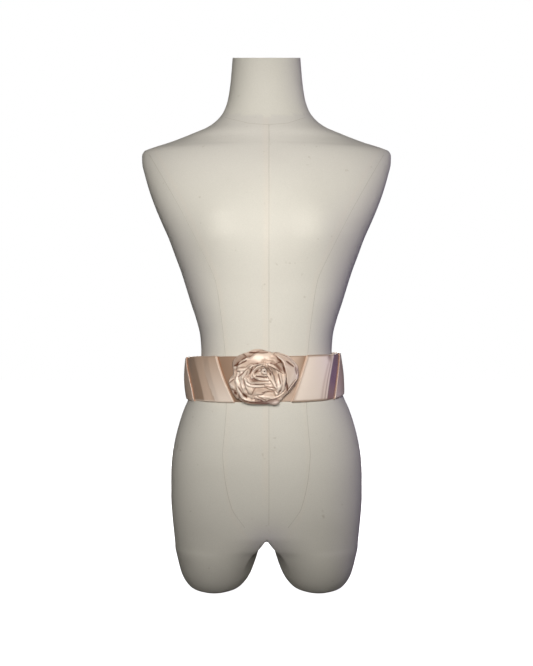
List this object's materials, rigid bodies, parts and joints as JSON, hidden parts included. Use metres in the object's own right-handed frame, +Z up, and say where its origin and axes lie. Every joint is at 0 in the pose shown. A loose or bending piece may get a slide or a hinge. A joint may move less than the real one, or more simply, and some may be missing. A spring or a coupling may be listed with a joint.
{
  "type": "satin belt on a limbless dress form",
  "caption": "Wide pleated satin waist belt with a rolled satin rose at the front, worn on a cloth-covered limbless dress form.",
  "frame": {"origin": "on the floor, under the middle of the whole outline", "axes": "+Z up, the front with the rose faces -Y, +X is the right-hand side as the viewer sees it"},
  "size_m": [0.4124, 0.2603, 0.8942],
  "materials": {
    "satin": "satin, soft sheen",
    "satin_rose": "satin, soft sheen",
    "form_cover": "matt fine jersey",
    "hook_steel": "plain nickelled wire"
  },
  "bodies": {
    "root": {"dress_form": "form_cover", "belt_front": "satin", "belt_left": "satin", "belt_right": "satin", "back_hook_1": "hook_steel", "back_hook_2": "hook_steel", "back_hook_3": "hook_steel", "rose_root": "satin_rose", "rose_bud": "satin_rose", "rose_heart_right": "satin_rose", "rose_heart_cup": "satin_rose", "rose_heart_left": "satin_rose", "rose_heart_low": "satin_rose", "rose_inner_right": "satin_rose", "rose_inner_top": "satin_rose", "rose_inner_left": "satin_rose", "rose_inner_low": "satin_rose", "rose_inner_under": "satin_rose", "rose_outer_right": "satin_rose", "rose_middle_right": "satin_rose", "rose_middle_top": "satin_rose", "rose_middle_left": "satin_rose", "rose_middle_low": "satin_rose", "rose_outer_left": "satin_rose", "rose_outer_low": "satin_rose", "rose_edge_right": "satin_rose", "rose_edge_top": "satin_rose", "rose_edge_corner": "satin_rose", "rose_edge_leaf": "satin_rose", "rose_edge_low": "satin_rose", "rose_edge_tip": "satin_rose"}
  },
  "joints": []
}
